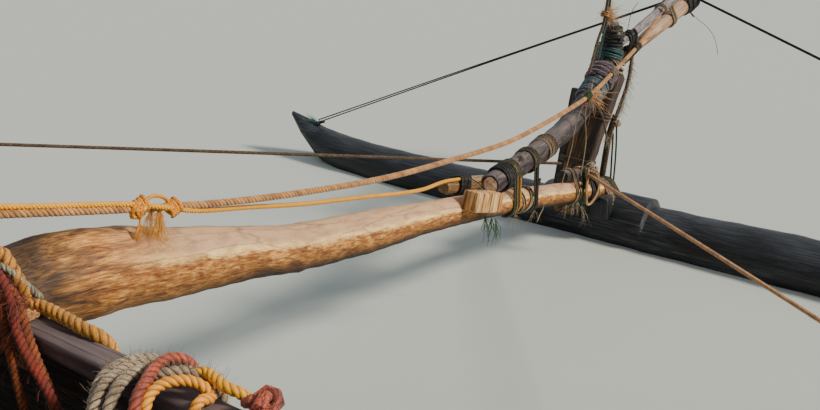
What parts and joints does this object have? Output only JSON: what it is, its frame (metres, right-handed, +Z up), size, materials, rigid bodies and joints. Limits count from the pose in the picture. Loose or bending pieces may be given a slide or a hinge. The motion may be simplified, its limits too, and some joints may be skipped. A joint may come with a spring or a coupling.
{
  "type": "outrigger sailing canoe",
  "caption": "Double-ended dugout sailing canoe with sewn plank sides, crooked booms to a log float, roped props over the float and a sprit-rigged square sail.",
  "frame": {"origin": "middle of the hull, in its mid-plane, at the waterline afloat", "axes": "+X to the bow, +Y to port, away from the float, +Z up"},
  "size_m": [10, 4.8443, 9.5477],
  "materials": {
    "hull_timber": "tarred and weathered",
    "rail_timber": "worn smooth",
    "boom_timber": "sun-bleached, worn",
    "bark_pole": "rough bark",
    "prop_timber": "rough sawn, weathered",
    "pale_timber": "sawn, bleached",
    "float_timber": "tarred, wet",
    "outer_timber": "smooth, oiled",
    "spar_timber": "smooth, weathered",
    "coir": "laid rope",
    "brown_cord": "laid rope",
    "black_cord": "laid rope",
    "sailcloth": "tanned cotton"
  },
  "bodies": {
    "canoe": {"bitt_aft": "hull_timber", "bitt_fore": "hull_timber", "boom_aft": "boom_timber", "boom_fore": "boom_timber", "bow_brace_aft": "brown_cord", "bow_brace_fore": "brown_cord", "brace_pole_aft": "bark_pole", "brace_pole_fore": "bark_pole", "chock_aft": "pale_timber", "chock_fore": "pale_timber", "coir_stay_aft": "coir", "coir_stay_fore": "coir", "companion_pole_aft": "pale_timber", "companion_pole_fore": "pale_timber", "cross_stay": "black_cord", "dugout_log": "hull_timber", "end_board_bow": "rail_timber", "end_board_stern": "rail_timber", "float": "float_timber", "float_stay_aft": "black_cord", "float_stay_fore": "black_cord", "gunwale_port": "rail_timber", "gunwale_starboard": "rail_timber", "hull_brace_aft": "coir", "hull_brace_fore": "coir", "leeboard_block": "rail_timber", "mast": "spar_timber", "mast_step": "hull_timber", "oar_ring": "coir", "outer_pole_aft": "outer_timber", "outer_pole_fore": "outer_timber", "packing_log_aft": "bark_pole", "packing_log_fore": "bark_pole", "post_aft": "prop_timber", "post_fore": "prop_timber", "seat_block_aft": "float_timber", "seat_block_fore": "float_timber", "shroud_aft": "black_cord", "shroud_fore": "black_cord", "slim_upright_aft": "prop_timber", "slim_upright_fore": "prop_timber", "steering_bar": "rail_timber", "stub_aft": "bark_pole", "stub_fore": "bark_pole", "thwart_aft": "rail_timber", "thwart_fore": "rail_timber", "thwart_mid": "rail_timber", "washstrake_port": "hull_timber", "washstrake_starboard": "hull_timber"},
    "rig": {"sprit": "spar_timber", "sail": "sailcloth", "snotter_loop": "coir", "throat_loop": "coir"},
    "oar": {"steering_oar": "spar_timber"},
    "board": {"leeboard": "rail_timber"}
  },
  "joints": [
    {"name": "sail_swing", "type": "hinge", "parent": "canoe", "child": "rig", "pos_m": [0, 0, 1.5], "axis": [0, 0, -1], "range_deg": [0, 80]},
    {"name": "oar_turn", "type": "hinge", "parent": "canoe", "child": "oar", "pos_m": [-3.72, 0.44, 1.79], "axis": [0.1853, 0, 0.9827], "range_deg": [-40, 40]},
    {"name": "leeboard_swing", "type": "hinge", "parent": "canoe", "child": "board", "pos_m": [0.9, 0.424, 0.925], "axis": [0, 1, 0], "range_deg": [0, 75]}
  ]
}
